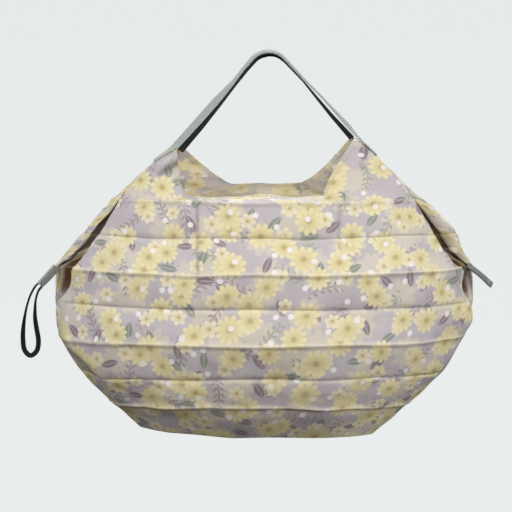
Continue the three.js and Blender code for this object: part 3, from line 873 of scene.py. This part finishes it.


# the whole panel as a grid of points, and how much painted shade the tucked cloth gets at each
def panelGrid(panel):
    count = panelCloth["endColumns"]
    face, seams = panelFace(panel)
    even = np.linspace(-1, 1, panelCloth["faceColumns"])
    hold = np.clip((np.abs(even) - panelCloth["endHold"]) / (1 - panelCloth["endHold"]), 0, 1) ** 2
    along = np.linspace(0, 1, count + 1)[:-1]
    (darkFrom, darkTo), fade = panel["darkShare"], panelCloth["darkFade"]
    inside = np.clip((along - darkFrom) / fade, 0, 1) * np.clip((darkTo - along) / fade, 0, 1)
    lipEnd, lipFade = panelCloth["lipShade"]
    onLip = np.clip((lipEnd - along) / lipFade, 0, 1)
    grid, dark = [], []
    for row, seam in zip(face, seams):
        parts, shades = [], []
        for end, column, inward in ((0, 1, 1), (-1, 2, -1)):
            level = row[end, 2]
            half = np.sign(even) == np.sign(even[end])
            row[half, 0] -= inward * table(panel["ends"], level, column) * hold[half]
            parts.append(turnedEnd(panel, row[end], seam, column, inward))
            shade = inside * table(panel["tuck"], level, 2)
            # the lip beside the slot gets painted shade too
            if "shade" in panel:
                shade = np.maximum(shade, onLip * table(panel["shade"], level, column))
            shades.append(shade)
        grid.append(np.vstack([parts[0], row, parts[1][::-1]]))
        dark.append(np.concatenate([shades[0], 0 * even, shades[1][::-1]]))
    grid = np.array(grid)
    soft = grid.copy()  # the corner beside the seam is rounded
    soft[:, 1:-1] = 0.5 * grid[:, 1:-1] + 0.25 * (grid[:, :-2] + grid[:, 2:])
    corner = count + panelCloth["cornerColumns"]
    grid[:, 1:corner] = soft[:, 1:corner]
    grid[:, -corner:-1] = soft[:, -corner:-1]
    return grid, np.array(dark)


def runLength(grid, axis):
    steps = np.linalg.norm(np.diff(grid, axis=axis), axis=2)
    return np.insert(np.cumsum(steps, axis=axis), 0, 0, axis=axis)


# distance from each point to a line drawn on the front, plus on the outer or lower side of it
def offLine(grid, line):
    best = np.full(grid.shape[:2], 1e9)
    for (x0, z0), (x1, z1) in zip(line, line[1:]):
        dx, dz = x1 - x0, z1 - z0
        share = ((grid[..., 0] - x0) * dx + (grid[..., 2] - z0) * dz) / (dx * dx + dz * dz)
        share = np.clip(share, 0, 1)
        ox, oz = grid[..., 0] - x0 - share * dx, grid[..., 2] - z0 - share * dz
        reach = np.hypot(ox, oz) * np.where(ox * dz - oz * dx < 0, -1, 1)
        best = np.where(np.abs(reach) < np.abs(best), reach, best)
    return best


def bell(off, width):
    return np.exp(-(off / width) ** 2)


# how far the cloth lifts off its plain shape, and the painted highlight and painted shade lines along its
# creases
def panelRelief(panel, grid, dark, u, v, seamNear, fromRim):
    push, creaseHighlightAndShade = np.zeros_like(u), np.zeros_like(u)
    perFacet = len(panelCloth["rowShares"])
    calm = np.clip(seamNear / panelCloth["seamCalm"], 0, 1)
    paintedLineWidth, drop, shadow = panelCloth["foldLine"]
    for fold in range(2, 9):
        below = v - v[fold * perFacet]
        ridge, clear = fold % 2 == 0, panelCloth["firstRidgePale"] if fold == 2 else 1.0
        lift = panelCloth["ridgeLip"] if ridge else -panelCloth["valleyLip"]
        push += bell(below, panelCloth["lipReach"]) * calm * lift
        # a ridge gets a painted highlight with a painted shadow line under it, a valley the other way round
        first, second = panelCloth["ridgePale" if ridge else "valleyPale"]
        creaseHighlightAndShade += calm * clear * (first * bell(below, paintedLineWidth) + second * bell(below - drop, shadow))
    loose = calm * np.clip((grid[..., 2] - baseLevel) / panelCloth["looseRise"], 0, 1)
    for stretch, size, height, seed in panelCloth["ripples"]:
        push += rolling(u, stretch * v, size, panel["seed"] + seed) * height * loose
    for width, lift, *line in panel["pulls"]:
        push += lift * bell(offLine(grid, line), width)
    # each pressed line is a dent with painted shade along it
    for width, depth, *line in panel["pressed"]:
        mark = depth * bell(offLine(grid, line), width)
        push -= mark
        creaseHighlightAndShade -= mark
    # each crest gets a painted highlight along it and a painted shadow line just outside it
    paintedLineWidth, drop, shadow = panelCloth["crestLine"]
    first, second = panelCloth["crestPale"]
    lowest, rise = panelCloth["crestLevels"]
    low = np.clip((grid[..., 2] - baseLevel - lowest) / rise, 0, 1)
    for lift, line in panel["crests"]:
        off = offLine(grid, line)
        width = np.where(off > 0, panelCloth["crestSide"], panelCloth["crestFace"])
        push += lift * np.exp(-np.abs(off) / width) * low * calm
        creaseHighlightAndShade += (first * bell(off, paintedLineWidth) + second * bell(off - drop, shadow)) * low * calm
    # the cross folds lie only in the painted tuck shade, each pinched up and given a painted highlight
    paintedTuckShade = np.clip(dark * panelCloth["tuckEdge"], 0, 1)
    for line in panelCloth["crossFolds"]:
        pinch = bell(offLine(grid, line), panelCloth["pinchWidth"]) * paintedTuckShade
        push += panelCloth["pinchLift"] * pinch
        creaseHighlightAndShade += panelCloth["pinchPale"] * pinch
    hem = np.clip((panelCloth["hemHeight"] - fromRim) / panelCloth["hemFade"], 0, 1)
    push += hem * panelCloth["hemSwell"]
    dip, width = panelCloth["seamDip"]
    push = (push - dip * bell(seamNear, width)) * (1 - bell(seamNear, panelCloth["seamHold"]))
    return push, creaseHighlightAndShade, hem


def makePanel(panel):
    side = panel["side"]
    grid, dark = panelGrid(panel)
    rows, columns = grid.shape[:2]
    u, fromRim = runLength(grid, 1), runLength(grid, 0)
    seamNear = np.minimum(u, u[:, -1:] - u)
    u = u - u[:, columns // 2:columns // 2 + 1]
    v = fromRim - fromRim[2 * len(panelCloth["rowShares"])]
    push, creaseHighlightAndShade, hem = panelRelief(panel, grid, dark, u, v, seamNear, fromRim)
    down, right = np.gradient(grid, axis=0), np.gradient(grid, axis=1)
    normals = unit(np.cross(down, right)) * -side
    shaped = grid + normals * push[..., None]
    shaped[:, 0], shaped[:, -1], shaped[-1] = grid[:, 0], grid[:, -1], grid[-1]

    index = np.arange(rows * columns).reshape(rows, columns)
    a, b, c, d = index[:-1, :-1], index[1:, :-1], index[1:, 1:], index[:-1, 1:]
    order = (a, b, c, d) if side < 0 else (a, d, c, b)
    faces = np.stack(order, axis=-1).reshape(-1, 4).tolist()
    flat = (np.stack([u, v], axis=-1) + panel["printShift"]).reshape(-1, 2) * mm
    points = (shaped * mm).reshape(-1, 3)
    piece = meshPiece(panel["name"], points, faces, [clothFace, clothReverse], flat)
    # the crease attribute holds painted highlight and painted shade, the tuck attribute painted shade, the
    # hem attribute the doubled hem
    for name, values in (("creaseHighlightAndShade", creaseHighlightAndShade), ("tuck", dark), ("hem", hem)):
        layer = piece.data.attributes.new(name, "FLOAT", "POINT")
        layer.data.foreach_set("value", values.astype(np.float32).ravel())
    wall = piece.modifiers.new("clothWall", "SOLIDIFY")
    wall.thickness = panelCloth["thickness"] * mm
    wall.offset = -1
    wall.material_offset = 1
    wall.material_offset_rim = 1
    dress(piece, panel["node"])
    print("stage: %s, %d faces" % (panel["name"], len(faces)))
    return shaped, normals


# the line that runs at one distance below a rim, on one face of the cloth
def hemLine(surface, below, lift):
    shaped, normals = surface
    reach = runLength(shaped, 0)
    line = []
    for k in range(sewing["hemMargin"], shaped.shape[1] - sewing["hemMargin"]):
        at = [np.interp(below, reach[:, k], shaped[:, k, axis]) for axis in range(3)]
        off = [np.interp(below, reach[:, k], normals[:, k, axis]) for axis in range(3)]
        line.append(np.array(at) + lift * np.array(off))
    return np.array(line)


frontSurface = makePanel(frontPanel)
backSurface = makePanel(backPanel)
for name, surface, seed in (("frontHemStitches", frontSurface, 3), ("backHemStitches", backSurface, 4)):
    lifts = (sewing["hemProud"], -panelCloth["thickness"] - sewing["hemProud"])
    sew(name, [hemLine(surface, sewing["hemDrop"], lift) for lift in lifts], seed)

# the handle: an outer webbing and a black lining on one route

handle = {
    "width": 25.0, "layerGap": 0.15, "stations": 150,
    "gripRadius": 24.0, "gripHalfAngle": 48.0, "gripCentre": (2.8, -19.3), "footShare": 0.86,
    "restGap": 0.2, "cornerOut": 1.0, "cornerUp": 0.6, "cornerPasses": 30,
    "gripPoints": 40, "routePoints": 1200,
    # shares of the route between which each foot is sewn, about 400 mm to the whole
    "sewnFeet": [(0.021, 0.08), (0.974, 0.915)], "sewnMargin": 3.0, "wholeRoute": 400,
}
strapLayer = {
    "name": "handleStrap", "node": "handle_strap", "thickness": 1.6, "outward": 1,
    "ends": (0.01, 0.985),
    # share of the route, lean in degrees, sink
    "lean": [(0, 4, -0.6), (0.06, 7, -0.4), (0.1, 15, 0), (0.2, 16, 1.5), (0.28, 17, 2.2), (0.37, 8, 1.5),
             (0.44, 7, 0), (0.5, 6.5, 0), (0.58, 4.5, -0.4), (0.66, 2.5, -0.8), (0.74, 3, -1.6),
             (0.8, 6, -0.6), (0.86, 9, 0.2), (0.92, 1.5, -0.4), (1, 1, -0.4)],
}
liningLayer = {
    "name": "handleLining", "node": "handle_lining", "thickness": 1.2, "outward": -1,
    "ends": (0.0955, 0.892),
    "lean": [(0.1, -16.5, 0), (0.2, -12, 1.5), (0.28, -7, 2.2), (0.36, -4.5, 1.5), (0.42, -6.5, 0),
             (0.5, -8.5, 0), (0.58, -2, -0.4), (0.66, -1.5, -0.6), (0.72, -4, 0.4), (0.8, -7.5, 1.4),
             (0.892, -12.5, 1)],
}


def handleRoute():
    lift = handle["layerGap"] + handle["restGap"]
    rim, foot = sideSeam["rows"][0], sideSeam["rows"][1]
    cx, cz = handle["gripCentre"]
    radius, half, share = handle["gripRadius"], handle["gripHalfAngle"], handle["footShare"]
    out, up = handle["cornerOut"], handle["cornerUp"]
    swing = np.radians(np.linspace(90 + half, 90 - half, handle["gripPoints"]))
    keys = [(lerp(rim[0], foot[0], share), lerp(rim[2], foot[2], share) + lift),
            (rim[0] - out, rim[2] + lift + up)]
    keys += [(cx + radius * math.cos(a), cz + radius * math.sin(a)) for a in swing]
    keys += [(rim[1] + out, rim[3] + lift + up),
             (lerp(rim[1], foot[1], share), lerp(rim[3], foot[3], share) + lift)]
    line = evenLine(np.array(keys), handle["routePoints"])
    for _ in range(handle["cornerPasses"]):  # the webbing turns its corners in a small curve
        line[1:-1] = 0.5 * line[1:-1] + 0.25 * (line[:-2] + line[2:])
    return line


# front edge, direction across and direction out of a layer at given shares of the route
def handleFrames(layer, shares):
    route = handleRoute()
    whole = np.linspace(0, 1, len(route))
    place = np.stack([np.interp(shares, whole, route[:, k]) for k in (0, 1)], axis=1)
    slope = np.gradient(route, axis=0)
    slope = unit(np.stack([np.interp(shares, whole, slope[:, k]) for k in (0, 1)], axis=1))
    lean = np.radians(table(layer["lean"], shares, 1))[:, None]
    sink = table(layer["lean"], shares, 2)[:, None]
    zero = np.zeros(len(shares))
    out = np.stack([-slope[:, 1], zero, slope[:, 0]], axis=1)
    depth = np.array([0.0, 1.0, 0.0])
    across = np.cos(lean) * depth + np.sin(lean) * out
    through = -np.sin(lean) * depth + np.cos(lean) * out
    front = np.stack([place[:, 0], zero - handle["width"] / 2, place[:, 1]], axis=1) - out * sink
    return front, across, through


def makeHandleLayer(layer, material):
    front, across, through = handleFrames(layer, np.linspace(*layer["ends"], handle["stations"]))
    section = webbingSection(handle["width"], layer["thickness"], 14)
    half = layer["thickness"] / 2
    section[:, 1] += half if layer["outward"] > 0 else -handle["layerGap"] - half
    rings = bandRings(front, section, across, through)
    lengths = lineLength(front)
    piece = bandPiece(layer["name"], rings, lengths, section[:, 0], material)
    dress(piece, layer["node"])
    print("stage: %s, %.0f mm" % (layer["name"], lengths[-1]))


# a sewn box with a cross in it, on the outer face of the strap
def sewnBox(start, end):
    near, far = handle["sewnMargin"], handle["width"] - handle["sewnMargin"]
    corners = [(start, near), (start, far), (end, far), (end, near)]
    scale = (handle["wholeRoute"], 1)
    lines = []
    for order in ([0, 1, 2, 3, 0, 2], [1, 3]):
        keys = evenLine(np.array([corners[k] for k in order]) * scale, 60) / scale
        front, across, through = handleFrames(strapLayer, keys[:, 0])
        proud = strapLayer["thickness"] + sewing["webbingProud"]
        lines.append(front + across * keys[:, 1:] + through * proud)
    return lines


makeHandleLayer(strapLayer, greyWebbing)
makeHandleLayer(liningLayer, blackWebbing)
sewnFeet = [line for foot in handle["sewnFeet"] for line in sewnBox(*foot)]
sew("strapFootStitches", sewnFeet, 5)

# the pull tabs of doubled webbing

tabSewing = {"stations": 40, "rows": (6, 33), "half": 4.4}
leftTab = {
    "name": "leftTab", "node": "left_tab", "width": 12.0, "thickness": 3.2,
    "route": [(-250.8, -2.8, -250.6, 48), (-261.5, -3.5, -262.4, 50), (-271.0, -4.0, -272.5, 40)],
}
rightTab = {
    "name": "rightTab", "node": "right_tab", "width": 12.0, "thickness": 3.2,
    "route": [(241.6, -1.8, -248.4, 20), (257.0, -2.5, -260.2, 22), (271.0, -2.0, -273.0, 26)],
}


def makeTab(tab, material):
    line = smoothRoute(tab["route"], tabSewing["stations"])
    centre, turn = line[:, :3], np.radians(line[:, 3])[:, None]
    along = unit(np.gradient(centre, axis=0))
    up = unit(np.cross(along, np.array([0.0, 1.0, 0.0])))
    level = unit(np.cross(up, along))
    across = np.cos(turn) * level + np.sin(turn) * up
    through = np.cross(along, across)
    section = webbingSection(tab["width"], tab["thickness"], 8)
    section[:, 0] -= tab["width"] / 2
    rings = bandRings(centre, section, across, through)
    lengths = lineLength(centre)
    piece = bandPiece(tab["name"], rings, lengths, section[:, 0], material)
    dress(piece, tab["node"])
    lift, half = tab["thickness"] / 2 + sewing["webbingProud"], tabSewing["half"]
    rows = [centre[k] + w * across[k] + face * lift * through[k]
            for k in tabSewing["rows"] for face in (1, -1) for w in (-half, half)]
    sew(tab["name"] + "Stitches", np.array(rows).reshape(4, 2, 3), 6)
    print("stage: %s" % tab["name"])


makeTab(leftTab, greyWebbing)
makeTab(rightTab, darkWebbing)
